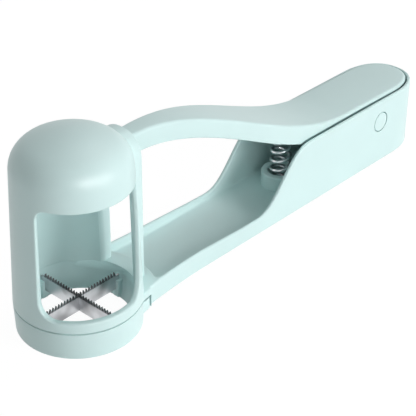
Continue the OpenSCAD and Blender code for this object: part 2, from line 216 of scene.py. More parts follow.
def arc(cx, cy, radius, start, stop, steps):
    """Points of an arc from one angle in degrees to another."""
    turns = (radians(start + (stop - start) * i / steps) for i in range(steps + 1))
    return [(cx + radius * cos(a), cy + radius * sin(a)) for a in turns]


def stations(a, b, step):
    """Evenly spaced places after a, up to b, about a step apart."""
    n = max(1, round(abs(b - a) / step))
    return [a + (b - a) * i / n for i in range(1, n + 1)]


def edit_mode():
    """Opens the active object for editing."""
    bpy.ops.object.mode_set(mode="EDIT")


def object_mode():
    """Leaves editing."""
    bpy.ops.object.mode_set(mode="OBJECT")


def deselect():
    """Object mode with nothing selected."""
    if bpy.context.object and bpy.context.object.mode != "OBJECT":
        object_mode()
    bpy.ops.object.select_all(action="DESELECT")


def select_all():
    """Selects the whole mesh that is open for editing."""
    bpy.ops.mesh.select_all(action="SELECT")


def extrude(*way):
    """Extrudes what is selected, along a way if one is given."""
    bpy.ops.mesh.extrude_region_move(TRANSFORM_OT_translate={"value": way or (0, 0, 0)})


def disc(radius, depth, at, corners=72, across=False):
    """Adds a cylinder that stands upright or lies across the handle."""
    deselect()
    bpy.ops.mesh.primitive_cylinder_add(vertices=corners, radius=radius, depth=depth, location=at,
                                        rotation=(pi / 2 if across else 0, 0, 0))


def quarter(steps, first=1):
    """Angles of a quarter turn in equal steps."""
    return [radians(90 * i / steps) for i in range(first, steps + 1)]


def begin(name):
    """Applies the place of the primitive that was just added, names it and opens it for editing."""
    bpy.ops.object.transform_apply()
    obj = bpy.context.object
    obj.name = name
    obj.data.name = name
    edit_mode()
    return obj


def blank(name):
    """A new mesh with nothing in it, open for editing."""
    deselect()
    bpy.ops.mesh.primitive_plane_add(size=1)
    obj = begin(name)
    bpy.ops.mesh.delete(type="VERT")
    return obj


def pick(obj, kind, test):
    """Selects the vertices, edges or faces that pass a test of their middle and of themselves."""
    bpy.ops.mesh.select_all(action="DESELECT")
    bpy.ops.mesh.select_mode(type=kind)
    mesh = bmesh.from_edit_mesh(obj.data)
    found = 0
    for item in {"VERT": mesh.verts, "EDGE": mesh.edges, "FACE": mesh.faces}[kind]:
        middle = item.co if kind == "VERT" else sum((v.co for v in item.verts), Vector()) / len(item.verts)
        if test(middle, item):
            item.select_set(True)
            found += 1
    if not found:
        raise RuntimeError("nothing to select on " + obj.name)
    mesh.select_flush_mode()
    bmesh.update_edit_mesh(obj.data)


def place(obj, where):
    """Moves each selected vertex to where(its place)."""
    mesh = bmesh.from_edit_mesh(obj.data)
    for v in mesh.verts:
        if v.select:
            v.co = where(v.co)
    bmesh.update_edit_mesh(obj.data)


def trace(obj, points):
    """Draws a chain of edges through points, and closes it where the last is the first."""
    bpy.ops.mesh.select_all(action="DESELECT")
    bpy.ops.mesh.select_mode(type="VERT")
    mesh = bmesh.from_edit_mesh(obj.data)
    mesh.verts.new(points[0]).select_set(True)
    bmesh.update_edit_mesh(obj.data)
    for a, b in zip(points, points[1:]):
        bpy.ops.mesh.extrude_vertices_move(TRANSFORM_OT_translate={"value": Vector(b) - Vector(a)})


def merge(distance=NEAR):
    """Merges doubles all over the mesh."""
    bpy.ops.mesh.select_mode(type="VERT")
    select_all()
    bpy.ops.mesh.remove_doubles(threshold=distance)
    bpy.ops.mesh.dissolve_degenerate(threshold=distance / 2)


def clean(distance=NEAR):
    """Merges doubles and turns all faces outwards."""
    merge(distance)
    select_all()
    bpy.ops.mesh.normals_make_consistent(inside=False)


def modify(obj, kind, **settings):
    """Adds a modifier and applies it."""
    if obj.mode != "OBJECT":
        object_mode()
    mod = obj.modifiers.new(kind.title(), kind)
    for key, value in settings.items():
        setattr(mod, key, value)
    bpy.context.view_layer.objects.active = obj
    bpy.ops.object.modifier_apply(modifier=mod.name)


def soften(obj, width, segments=2):
    """Rounds every sharp edge."""
    modify(obj, "BEVEL", width=width, segments=segments, limit_method="ANGLE", angle_limit=radians(SHARP))


def hand_over(obj, material, body, slot, *nodes):
    """Brings a finished piece from millimetres to metres, shades it and gives it to its body."""
    deselect()
    obj.select_set(True)
    bpy.context.view_layer.objects.active = obj
    obj.scale = (MM, MM, MM)
    bpy.ops.object.transform_apply(location=True, rotation=True, scale=True)
    bpy.ops.object.shade_smooth_by_angle(angle=radians(SMOOTH))
    obj.data.materials.clear()
    obj.data.materials.append(material)
    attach(obj, body)
    if nodes:
        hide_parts(*nodes)
    deselect()


def plastic(obj, body, *nodes):
    """Hands over a piece of the mint moulding."""
    hand_over(obj, mint_plastic(), body, "mint_plastic", *nodes)


def cut(obj, cutter):
    """Cuts one form out of another and removes the cutter."""
    modify(obj, "BOOLEAN", object=cutter, operation="DIFFERENCE", solver="EXACT")
    bpy.data.objects.remove(cutter)


# Materials

def linear(code):
    """Linear colour of an sRGB hex value."""
    parts = [int(code[i:i + 2], 16) / 255.0 for i in (0, 2, 4)]
    return tuple(c / 12.92 if c <= 0.04045 else ((c + 0.055) / 1.055) ** 2.4 for c in parts) + (1.0,)


def node(tree, kind, links=(), sockets=(), **settings):
    """Adds one node, sets its properties and sockets, and links its inputs."""
    made = tree.nodes.new(kind)
    for key, value in settings.items():
        setattr(made, key, value)
    for name, value in sockets:
        made.inputs[name].default_value = value
    for source, output, target in links:
        tree.links.new(source.outputs[output], made.inputs[target])
    return made


def noise(tree, where, scale, detail):
    """Soft noise over the object, with a scale per metre."""
    return node(tree, "ShaderNodeTexNoise", [(where, "Object", "Vector")],
                [("Scale", scale), ("Detail", detail)])


def new_material(name):
    """A node material, its tree and its surface shader."""
    material = bpy.data.materials.new(name)
    material.use_nodes = True
    return material, material.node_tree, material.node_tree.nodes["Principled BSDF"]


def mint_plastic():
    """Injection-moulded ABS in mint, satin from a fine spark-eroded mould."""
    name = "ABS_mint_moulded_satin"
    if name in bpy.data.materials:
        return bpy.data.materials[name]
    # Satin skin: a broad soft highlight, a faint cloudiness of the pigment and a fine mould grain
    material, tree, shader = new_material(name)
    base = linear(bpy.context.scene.slicer_colours.plastic)
    shader.inputs["IOR"].default_value = 1.53
    shader.inputs["Specular IOR Level"].default_value = 0.35
    where = node(tree, "ShaderNodeTexCoord")
    # Pigment flow, about 30 mm across
    cloud = noise(tree, where, 33.0, 2.0)
    tint = node(tree, "ShaderNodeValToRGB", [(cloud, "Fac", "Fac")])
    tint.color_ramp.elements[0].position = 0.35
    tint.color_ramp.elements[0].color = tuple(0.975 * c for c in base[:3]) + (1.0,)
    tint.color_ramp.elements[1].position = 0.65
    tint.color_ramp.elements[1].color = base
    tree.links.new(tint.outputs["Color"], shader.inputs["Base Color"])
    # Mould grain, drawn about 0.4 mm across instead of the real 0.1 mm so that it shows
    grain = noise(tree, where, 2500.0, 3.0)
    gloss = node(tree, "ShaderNodeMapRange", [(grain, "Fac", "Value")], [("To Min", 0.32), ("To Max", 0.44)])
    tree.links.new(gloss.outputs["Result"], shader.inputs["Roughness"])
    bump = node(tree, "ShaderNodeBump", [(grain, "Fac", "Height")],
                [("Strength", 0.05), ("Distance", 0.0001)])
    tree.links.new(bump.outputs["Normal"], shader.inputs["Normal"])
    return material


def blade_steel():
    """Stainless strip, brushed along its length, with painted shade on its teeth and painted reflection in
    patches.
    """
    name = "stainless_strip_brushed"
    if name in bpy.data.materials:
        return bpy.data.materials[name]
    # Bright flat whose brush lines spread the highlight, with painted shade that darkens the teeth from their
    # roots up
    material, tree, shader = new_material(name)
    base = linear(bpy.context.scene.slicer_colours.steel)
    shader.inputs["Metallic"].default_value = 1.0
    where = node(tree, "ShaderNodeTexCoord")
    # Brush lines about 0.25 mm apart, coarser than the real 0.05 mm so that they show
    stretch = node(tree, "ShaderNodeMapping", [(where, "Object", "Vector")],
                   [("Scale", (150.0, 150.0, 4000.0))])
    lines = node(tree, "ShaderNodeTexNoise", [(stretch, "Vector", "Vector")], [("Scale", 1.0)])
    gloss = node(tree, "ShaderNodeMapRange", [(lines, "Fac", "Value")], [("To Min", 0.3), ("To Max", 0.4)])
    tree.links.new(gloss.outputs["Result"], shader.inputs["Roughness"])
    # Painted shade on the teeth: its edge lies at their roots, 1.5 mm below the tips at 11 mm
    spot = node(tree, "ShaderNodeSeparateXYZ", [(where, "Object", "Vector")])
    painted_teeth_shade = node(tree, "ShaderNodeMapRange", [(spot, "Z", "Value")],
                [("From Min", 0.0094), ("From Max", 0.0097)])
    # The ramp's dark end is the painted shade on the teeth, at 0.3 of the steel's colour
    tint = node(tree, "ShaderNodeValToRGB", [(painted_teeth_shade, "Result", "Fac")])
    tint.color_ramp.elements[0].color = base
    tint.color_ramp.elements[1].color = tuple(0.3 * c for c in base[:3]) + (1.0,)
    # Painted reflection: the steel is darkened in patches about 8 mm across
    painted_reflection_noise = noise(tree, where, 125.0, 1.0)
    painted_reflection_patches = node(tree, "ShaderNodeMapRange", [(painted_reflection_noise, "Fac", "Value")],
                 [("From Min", 0.35), ("From Max", 0.55), ("To Min", 0.5), ("To Max", 1.0)])
    # The painted shade on the teeth and the painted reflection patches together darken the base colour
    shade = node(tree, "ShaderNodeVectorMath", [(tint, "Color", 0), (painted_reflection_patches, "Result", "Scale")],
                 operation="SCALE")
    tree.links.new(shade.outputs["Vector"], shader.inputs["Base Color"])
    return material


def wire_steel():
    """Spring wire, drawn bright."""
    name = "spring_wire_drawn_bright"
    if name in bpy.data.materials:
        return bpy.data.materials[name]
    # Mirror-like wire with a few dull patches where the oil from drawing has dried
    material, tree, shader = new_material(name)
    shader.inputs["Metallic"].default_value = 1.0
    shader.inputs["Base Color"].default_value = linear(bpy.context.scene.slicer_colours.steel)
    where = node(tree, "ShaderNodeTexCoord")
    # Patches about 2 mm across
    dull = noise(tree, where, 500.0, 2.0)
    gloss = node(tree, "ShaderNodeMapRange", [(dull, "Fac", "Value")], [("To Min", 0.1), ("To Max", 0.3)])
    tree.links.new(gloss.outputs["Result"], shader.inputs["Roughness"])
    return material


# Forms that several pieces share

def dome_centre(h):
    """Radius and height of the shoulder's centre, height of the crown's, and the angle where they meet."""
    cx = h.neck - h.shoulder
    cz = h.height - h.crown
    sz = cz + sqrt((h.crown - h.shoulder) ** 2 - cx * cx)
    return cx, sz, cz, atan2(sz - cz, cx)


def wall_radius(h, z):
    """Outer radius of the head at a height, up to its crown."""
    cx, sz = dome_centre(h)[:2]
    if z <= sz:
        return h.radius + (h.neck - h.radius) * z / sz
    return cx + sqrt(max(h.shoulder ** 2 - (z - sz) ** 2, 0.0))


def wall_at(h, z):
    """Thickness of the head's wall at a height: outside it is drafted more than inside."""
    share = (z - h.window_low) / (h.window_high - h.window_low)
    return h.wall + (h.wall_top - h.wall) * min(max(share, 0.0), 1.0)


def bore_radius(h, z):
    """Inner radius of the head at a height, up to its shoulder."""
    cx, sz = dome_centre(h)[:2]
    if z <= sz:
        return wall_radius(h, z) - wall_at(h, z)
    return cx + sqrt(max((h.shoulder - wall_at(h, z)) ** 2 - (z - sz) ** 2, 0.0))


def seam_at(h, x):
    """Height of the ring's upper edge, which dips towards its tongue."""
    dip_from, dip_to = 8.2, 1.5
    start, stop = h.tongue - dip_from, h.tongue - dip_to
    return h.seam + (h.seam_low - h.seam) * ease((x - start) / (stop - start))


def moulding_chain(half, height, skin, wall, rounds, inset, drop, waist, tuck=0.0):
    """Half section of a channel as (y, distance from its closed face), from that face to the skin's middle.

    rounds are the radii of the closed face's edge, of the outer and inner edges of the wall and of the inner
    fillet. inset narrows the channel. With drop the channel is filled up to that depth below its open side.
    Beyond the waist the wall steps in by the tuck.
    """
    face, outer, inner, fillet = rounds
    low = [(0.0, 0.0)] + arc(half - face, face, face, -90, 0, 6)
    ledge, clear = 0.1, 0.2
    waist = min(max(waist, face + ledge), height - outer - clear)
    low += [(half, waist), (half - tuck, waist + ledge)]
    low += arc(half - tuck - outer, height - outer, outer, 0, 90, 4)
    edge = half - wall - inset
    lip = arc(edge + inner, height - inner, inner, 90, 180, 4)
    if drop is None:
        return low + lip + arc(edge - fillet, skin + fillet, fillet, 0, -90, 4) + [(0.0, skin)]
    lip = [(y, max(q, height - drop)) for y, q in lip]
    return low + lip + [(edge * (5 - i) / 5, height - drop) for i in range(6)]


def drawn_half(name, end_x, chains, stretch):
    """Half of a long moulding: its first chain is spun about the round end and drawn through the rest.

    The round end is stretched along the moulding, by a factor that depends on the distance from its centre.
    """
    fullness = 0.88
    obj = blank(name)
    trace(obj, chains[0])
    mesh = bmesh.from_edit_mesh(obj.data)
    order = mesh.verts.layers.int.new("order")
    for v in mesh.verts:
        v[order] = min(range(len(chains[0])), key=lambda i: (v.co - chains[0][i]).length)
    bmesh.update_edit_mesh(obj.data)
    select_all()
    bpy.ops.mesh.spin(steps=20, angle=pi / 2, center=(end_x, 0, 0), axis=(0, 0, 1))
    merge(FINE)
    pick(obj, "VERT", lambda c, v: c.x > end_x + FINE)

    def full(co):
        """Place on an end that is stretched and a little fuller than an ellipse."""
        r, turn = hypot(co.x - end_x, co.y), atan2(co.x - end_x, co.y)
        along, across = sin(turn) ** fullness, max(cos(turn), 0.0) ** fullness
        return Vector((end_x + stretch(r) * r * along, r * across, co.z))

    place(obj, full)
    pick(obj, "EDGE", lambda c, e: all(abs(v.co.x - end_x) < FINE for v in e.verts))
    for chain in chains[1:]:
        extrude()
        mesh = bmesh.from_edit_mesh(obj.data)
        order = mesh.verts.layers.int["order"]
        for v in mesh.verts:
            if v.select:
                v.co = chain[v[order]]
        bmesh.update_edit_mesh(obj.data)
    return obj


def close_halves(obj):
    """Mirrors a half moulding and closes its open nose."""
    merge(FINE)
    modify(obj, "MIRROR", use_axis=(False, True, False), merge_threshold=NEAR)
    edit_mode()
    merge()
    pick(obj, "EDGE", lambda c, e: len(e.link_faces) == 1)
    bpy.ops.mesh.fill()
    clean()


# Pieces

class SLICER_OT_head(Operator):
    """Model the domed head with its window"""

    bl_idname = "slicer.head"
    bl_label = "Head"

    def execute(self, context):
        h = sizes("head")
        cx, sz, cz, turn = dome_centre(h)
        sheet_r, column, slot, rows = 21.6, 4, 24, (20, 28, 36, 44, 52, 58)
        low = h.seam + h.seam_gap
        left, right = h.window_from * sheet_r, h.window_to * sheet_r
        sill, lintel, grow, t = h.window_low, h.window_high, h.edge_round, h.wall
        rb, rl, rr = h.sill_corner, h.lintel_corner, h.lintel_sharp

        # The wall is drawn flat, as an unrolled sheet with the window's outline in it
        obj = blank("head_shell")
        u0, u1 = radians(slot) * sheet_r, radians(360 - slot) * sheet_r
        trace(obj, [(u0, low, 0), (u1, low, 0), (u1, sz, 0), (u0, sz, 0), (u0, low, 0)])
        loop = arc(right - rb, sill + rb, rb + grow, -90, 0, 12)
        loop += arc(right - rr, lintel - rr, rr + grow, 0, 90, 6)
        loop += arc(left + rl, lintel - rl, rl + grow, 90, 180, 8)
        loop += arc(left + rb, sill + rb, rb + grow, 180, 270, 12)
        trace(obj, [(u, v, 0) for u, v in loop + loop[:1]])
        merge(FINE)
        bpy.ops.mesh.fill()
        columns = range(slot + column, 360 - slot, column)
        cuts = [((radians(turned) * sheet_r, 0, 0), (1, 0, 0)) for turned in columns]
        for at, way in cuts + [((0, height, 0), (0, 1, 0)) for height in rows]:
            select_all()
            bpy.ops.mesh.bisect(plane_co=at, plane_no=way)
        mesh = bmesh.from_edit_mesh(obj.data)
        across, up = mesh.verts.layers.float.new("across"), mesh.verts.layers.float.new("up")
        for v in mesh.verts:
            v[across], v[up] = v.co.x, v.co.y
        bmesh.update_edit_mesh(obj.data)

        def slant(u, v):
            """Turn of a place near the window's right edge, which stands upright on the drafted wall."""
            middle, far = (left + right) / 2, u1
            near = min(max((u - middle) / (right - middle), 0.0), max((far - u) / (far - right), 0.0), 1.0)
            height = (min(v, lintel) - (sill + lintel) / 2) / (lintel - sill)
            return h.window_slant * near * height * (1.0 - ease((v - lintel - grow) / (sz - lintel - grow)))

        def rolled(u, v, depth):
            """Place on the rolled sheet, at a depth below its outer face that is a share of the full wall."""
            r, a = wall_radius(h, v) - wall_at(h, v) * depth / t, u / sheet_r + slant(u, v)
            return Vector((r * cos(a), r * sin(a), v))

        select_all()
        place(obj, lambda co: rolled(co.x, co.y, 0.0))

        # The dome is spun from its profile, and its faces inside the slot are taken out
        meet = math.degrees(turn)
        profile = arc(cx, sz, h.shoulder, 0, meet, 12) + arc(0, cz, h.crown, meet, 90, 8)[1:]
        start = radians(slot)
        trace(obj, [(r * cos(start), r * sin(start), z) for r, z in profile])
        pick(obj, "EDGE", lambda c, e: not e.link_faces)
        bpy.ops.mesh.spin(steps=360 // column, angle=2 * pi, center=(0, 0, 0), axis=(0, 0, 1))
        merge()

        def in_slot(c):
            """Whether a place lies inside the middle of the rim round the slot."""
            corner = h.slot_corner + h.collar
            dy = max(abs(c.y) - h.slot_half - h.collar / 2 + corner, 0.0)
            dz = max(c.z - h.slot_high - h.collar / 2 + corner, 0.0)
            return c.x > 0 and hypot(dy, dz) < corner

        pick(obj, "FACE", lambda c, f: c.z > sz and in_slot(c))
        bpy.ops.mesh.delete(type="FACE")

        # A second skin lies inside the first
        def inner(co):
            """Place on the inner skin below one on the outer."""
            r, a = hypot(co.x, co.y), atan2(co.y, co.x)
            slope = atan2(co.z - sz, r - cx) if co.z > sz else 0.0
            if slope > turn:
                slope = atan2(co.z - cz, r)
            thick = wall_at(h, co.z)
            r -= thick * cos(slope)
            return Vector((r * cos(a), r * sin(a), co.z - thick * sin(slope)))

        select_all()
        bpy.ops.mesh.duplicate()
        place(obj, inner)

        # The window's edge runs from skin to skin through a rounding, a reveal and a second rounding
        tiny, before, beyond = 1e-6, 0.5, 6.0

        def outward(u, v):
            """Direction away from the window at a place near its outline."""
            rt = rl if u < (left + right) / 2 else rr
            corner = rb if v < sill + rb else rt
            du = u - min(max(u, left + corner), right - corner)
            dv = v - min(max(v, sill + rb), lintel - rt)
            if abs(du) < tiny or sill + rb <= v <= lintel - rt:
                if abs(dv) > tiny:
                    return 0.0, math.copysign(1.0, dv)
                return math.copysign(1.0, u - (left + right) / 2), 0.0
            size = hypot(du, dv)
            return du / size, dv / size

        def settle(offset, depth):
            """Puts the selected part of the window's loop at an offset and a depth."""
            mesh = bmesh.from_edit_mesh(obj.data)
            across, up = mesh.verts.layers.float["across"], mesh.verts.layers.float["up"]
            for vert in mesh.verts:
                if vert.select:
                    nu, nv = outward(vert[across], vert[up])
                    lift = h.sill_lift * depth / t * max(-nv, 0.0)
                    u, v = vert[across] + (offset - grow) * nu, vert[up] + (offset - grow) * nv + lift
                    vert.co = rolled(u, v, depth)
            bmesh.update_edit_mesh(obj.data)

        def on_window(c, e, inside):
            """Whether an edge lies on the window's outline in the inner or outer skin."""
            u = atan2(c.y, c.x) % (2 * pi) * sheet_r
            near = left - grow - before < u < right + grow + beyond
            near = near and sill - 2 * grow < c.z < lintel + 2 * grow
            skin = hypot(c.x, c.y) < wall_radius(h, c.z) - wall_at(h, c.z) / 2
            return near and skin == inside and len(e.link_faces) == 1

        pick(obj, "EDGE", lambda c, e: on_window(c, e, True))
        settle(grow, t)
        pick(obj, "EDGE", lambda c, e: on_window(c, e, False))
        rim = [(grow * (1 - sin(a)), grow * (1 - cos(a))) for a in quarter(6)]
        for offset, depth in rim + [(o, t - d) for o, d in reversed(rim[:-1])] + [(grow, t)]:
            extrude()
            settle(offset, depth)
        merge()
        pick(obj, "EDGE", lambda c, e: len(e.link_faces) == 1)
        bpy.ops.mesh.bridge_edge_loops()
        pick(obj, "VERT", lambda c, v: c.z < low + NEAR)
        place(obj, lambda co: Vector((co.x, co.y, seam_at(h, co.x) + h.seam_gap)))
        clean(FINE)
        plastic(obj, "frame", "body")
        return {"FINISHED"}


class SLICER_OT_collar(Operator):
    """Model the raised rim round the rear slot"""

    bl_idname = "slicer.collar"
    bl_label = "Slot rim"

    def execute(self, context):
        h = sizes("head")
        foot, shell = h.seam - 0.8, 0.05
        crisp, soft, sharp, clear, front, near = 0.6, 1.3, 0.9, 0.5, 20.5, 0.1

        def arch(grow):
            """Points of the slot's outline, grown outwards, from one foot over the top to the other."""
            w, r, top = h.slot_half + grow, h.slot_corner + 2 * grow, h.slot_high + grow
            half = [(w, z) for z in [foot] + stations(foot, top - r, 4.0)]
            half += arc(w - r, top - r, r, 0, 90, 8)[1:]
            return half + [(-y, z) for y, z in reversed(half)]

        obj = blank("slot_rim")
        for points in (arch(0.0), arch(h.collar)):
            trace(obj, [(h.collar_back, y, z) for y, z in points])
        bpy.ops.mesh.select_mode(type="EDGE")
        select_all()
        bpy.ops.mesh.bridge_edge_loops()
        select_all()
        extrude()
        place(obj, lambda co: Vector((sqrt((bore_radius(h, co.z) + shell) ** 2 - co.y ** 2), co.y, co.z)))
        clean(FINE)

        def edge(c, e):
            """Whether an edge is sharp and lies above the rim's foot."""
            return e.calc_face_angle(0.0) > sharp and c.z > foot + clear

        # The rear edges are crisp, and the inner edges of the jambs are softly rounded
        back = h.collar_back
        pick(obj, "EDGE", lambda c, e: all(abs(v.co.x - back) < NEAR for v in e.verts) and edge(c, e))
        bpy.ops.mesh.bevel(offset=crisp, segments=3)
        pick(obj, "EDGE", lambda c, e: c.x < front and abs(c.y) < h.slot_half + near
             and c.z < h.slot_high + near and edge(c, e))
        bpy.ops.mesh.bevel(offset=soft, segments=4)
        plastic(obj, "frame", "body")
        return {"FINISHED"}


def handle_half_at(s, h, x):
    """Half the handle's outer width at a place along it."""
    return s.half + s.flare * (max(s.flare_end - x, 0.0) / (s.flare_end - h.tongue)) ** 2


def wall_top_at(s, x):
    """Height of the handle's walls at a place along it."""
    lift_end, lift_run = 75.0, 35.0
    t = min(max((x - s.rise_from) / (s.rise_to - s.rise_from), 0.0), 1.0)
    rise = t ** 3 * (10 - 15 * t + 6 * t * t)
    return s.low_wall + s.lift * ease((lift_end - x) / lift_run) + (s.rim - s.low_wall) * rise


class SLICER_OT_handle(Operator):
    """Model the channel-shaped lower handle"""

    bl_idname = "slicer.handle"
    bl_label = "Lower handle"

    def execute(self, context):
        s, h, k = sizes("handle"), sizes("head"), sizes("works")
        end_x = s.end - s.round_end
        tongue_top = h.seam_low + h.seam_gap
        notch_gap, spigot_gap, plug_gap, recess, proud = 1.1, 0.55, 0.42, 3.0, 0.2
        ramp_end, ramp_run, bow_end, fillet = 128.0, 14.0, 42.0, 1.0
        land, land_root = (25.8, 24.6, 23.6), 11.0
        notch = h.tongue + notch_gap
        rounds = (s.foot_round, s.rim_round, s.lip_round, fillet)

        def chain(x, inset=0.0, drop=None):
            """Points of the half section at a place along the handle."""
            half, height = handle_half_at(s, h, x), wall_top_at(s, x) - s.under
            floor = s.floor + s.floor_rise * ease((ramp_end - x) / ramp_run)
            flat = moulding_chain(half, height, floor, s.wall, rounds, inset, drop, tongue_top - s.under)
            # Towards the head the sections bow forward at their sides, round the head
            bow = min(max((bow_end - x) / (bow_end - s.front), 0.0), 1.0)
            return [Vector((x + bow * (sqrt(s.front ** 2 - y * y) - s.front), y, s.under + q))
                    for y, q in flat]

        def on_round(points, radius, limit, lowest):
            """The same points moved along the handle onto an upright cylinder round the head axis."""
            return [Vector((max(limit, sqrt(radius ** 2 - p.y ** 2)), p.y, max(p.z, lowest)))
                    for p in points]

        chains = [chain(x) for x in [end_x] + stations(end_x, s.front + s.corner, STEP)]
        # The channel's front corners are round in plan, and its front edge is rounded as its lip is
        for turn in quarter(6):
            chains.append(chain(s.front + s.corner * (1 - sin(turn)), s.corner * (1 - cos(turn))))
        lip = s.lip_round
        for turn in quarter(5, 0):
            chains.append(chain(s.front - lip * (1 - cos(turn)), s.corner, lip * (1 - sin(turn))))
        chains += [chain(x, s.corner, 0.0) for x in land]
        # The land runs into the head's wall, with a step in its underside for the ring's tongue
        ring = h.radius + h.seam_gap
        chains += [on_round(chain(notch, s.corner, 0.0), ring, notch, lowest) for lowest in (0.0, tongue_top)]
        chains.append(on_round(chain(land_root, s.corner, 0.0), k.spigot + spigot_gap, 0.0, tongue_top))

        def stretch(r):
            """The wall is thinner at the end than at the sides."""
            r = max(r, s.half - s.wall)
            return (s.round_end - (s.half - r) * s.end_wall / s.wall) / r

        obj = drawn_half("lower_handle", end_x, chains, stretch)
        close_halves(obj)
        # Round recesses for the plugs over the pin
        for side in (-1, 1):
            disc(k.plug + plug_gap, recess, (k.pivot_x, side * (s.half + proud), k.pivot_z), across=True)
            cut(obj, bpy.context.object)
        plastic(obj, "frame", "body")
        return {"FINISHED"}


def lever_top_at(s, x):
    """Height of the lever's top at a place along it."""
    lid = max(x - s.lid_start, 0.0) / (sizes("handle").end - s.lid_start)
    arm = ease((x - s.arm_flat) / (s.lid_start - s.arm_flat))
    return s.arm_top + (s.lid_top - s.arm_top) * arm - s.lid_fall * lid ** 1.5


class SLICER_OT_lever(Operator):
    """Model the lever: slim arm, flared body and lid"""

    bl_idname = "slicer.lever"
    bl_label = "Lever"

    def execute(self, context):
        s, handle = sizes("lever"), sizes("handle")
        end_x = handle.end - handle.round_end
        reach = handle.round_end - handle.end_wall - (handle.half - handle.wall - s.lid_half)
        root = s.arm_flat - 3.0
        body_from, depth_run, round_run, tuck_from, tuck_run = 60.0, 40.0, 60.0, 103.0, 4.0
        thinnest, rim_gap, edges = 0.45, 0.1, (0.5, 0.3, 0.5)

        def chain(x, drop=None):
            """Points of the half section at a place along the lever."""
            widen = ease((x - s.taper_from) / (s.taper_to - s.taper_from))
            half = s.arm_half + (s.lid_half - s.arm_half) * widen
            depth = s.depth + (s.lid_depth - s.depth) * ease((x - body_from) / depth_run)
            depth -= s.nose_rise * max(root - x, 0.0) / root
            soft = s.arm_round + (s.lid_round - s.arm_round) * ease((x - body_from) / round_run)
            wall = min(s.skin, thinnest * half)
            # The sides step in just below the rim, so that the gap beside the lid is deep
            top, tuck = lever_top_at(s, x), s.tuck * ease((x - tuck_from) / tuck_run)
            waist = top - wall_top_at(handle, x) - rim_gap
            flat = moulding_chain(half, depth, s.skin, wall, (soft, *edges), 0.0, drop, waist, tuck)
            return [Vector((x, y, top - q)) for y, q in flat]

        chains = [chain(x) for x in [end_x] + stations(end_x, s.hollow, STEP)]
        chains += [chain(x, 0.0) for x in [s.hollow] + stations(s.hollow, -s.nose, STEP)]
        obj = drawn_half("lever_shell", end_x, chains, lambda r: reach / s.lid_half)
        # The round end goes on falling with the lid
        end_top = lever_top_at(s, end_x)
        pick(obj, "VERT", lambda c, v: c.x > end_x)
        place(obj, lambda co: co + Vector((0, 0, lever_top_at(s, co.x) - end_top)))
        close_halves(obj)
        plastic(obj, "lever", "lever")
        return {"FINISHED"}


class SLICER_OT_lever_works(Operator):
    """Model the hinge lugs and the spring pad under the lever"""

    bl_idname = "slicer.lever_works"
    bl_label = "Hinge lugs and spring pad"

    def execute(self, context):
        k, s = sizes("works"), sizes("lever")
        radius, thick, middle, edge = 5.0, 2.5, 7.65, 0.4
        top = lever_top_at(s, k.pivot_x + radius) - s.skin / 2
        for name, side in (("hinge_lug_near", -1), ("hinge_lug_far", 1)):
            # The upper half of a disc is drawn up into the lid
            disc(radius, thick, (k.pivot_x, side * middle, k.pivot_z), 64, across=True)
            obj = begin(name)
            select_all()
            bpy.ops.mesh.bisect(plane_co=(0, 0, k.pivot_z), plane_no=(0, 0, 1), use_fill=True,
                                clear_outer=True)
            pick(obj, "FACE", lambda c, f: f.normal.z > FACING)
            extrude(0, 0, top - k.pivot_z)
            clean()
            soften(obj, edge)
            plastic(obj, "lever")
        # The pad fits into the spring's cup at full squeeze, and its short boss tilts inside the coil
        pad, deep, edge, boss, boss_high = 4.45, 5.0, 0.3, k.coil - k.wire - 0.9, 1.5
        disc(pad, deep, (k.spring_x, 0, k.spring_high + deep / 2), 48)
        obj = begin("spring_pad")
        pick(obj, "FACE", lambda c, f: f.normal.z < -FACING)
        bpy.ops.mesh.inset(thickness=pad - boss)
        extrude(0, 0, -boss_high)
        clean()
        soften(obj, edge)
        plastic(obj, "lever")
        return {"FINISHED"}


class SLICER_OT_spring_cup(Operator):
    """Model the cup on the handle's floor that holds the spring"""

    bl_idname = "slicer.spring_cup"
    bl_label = "Spring cup"

    def execute(self, context):
        k, s = sizes("works"), sizes("handle")
        radius, bore, height, sink, edge = 7.15, 4.65, 8.0, 1.0, 0.6
        floor = s.under + s.floor
        disc(radius, height + sink, (k.spring_x, 0, floor + height / 2 - sink / 2))
        obj = begin("spring_cup")
        pick(obj, "FACE", lambda c, f: f.normal.z > FACING)
        bpy.ops.mesh.inset(thickness=radius - bore)
        extrude(0, 0, k.spring_low - floor - height)
        clean()
        soften(obj, edge, 4)
        plastic(obj, "frame", "body")
        return {"FINISHED"}


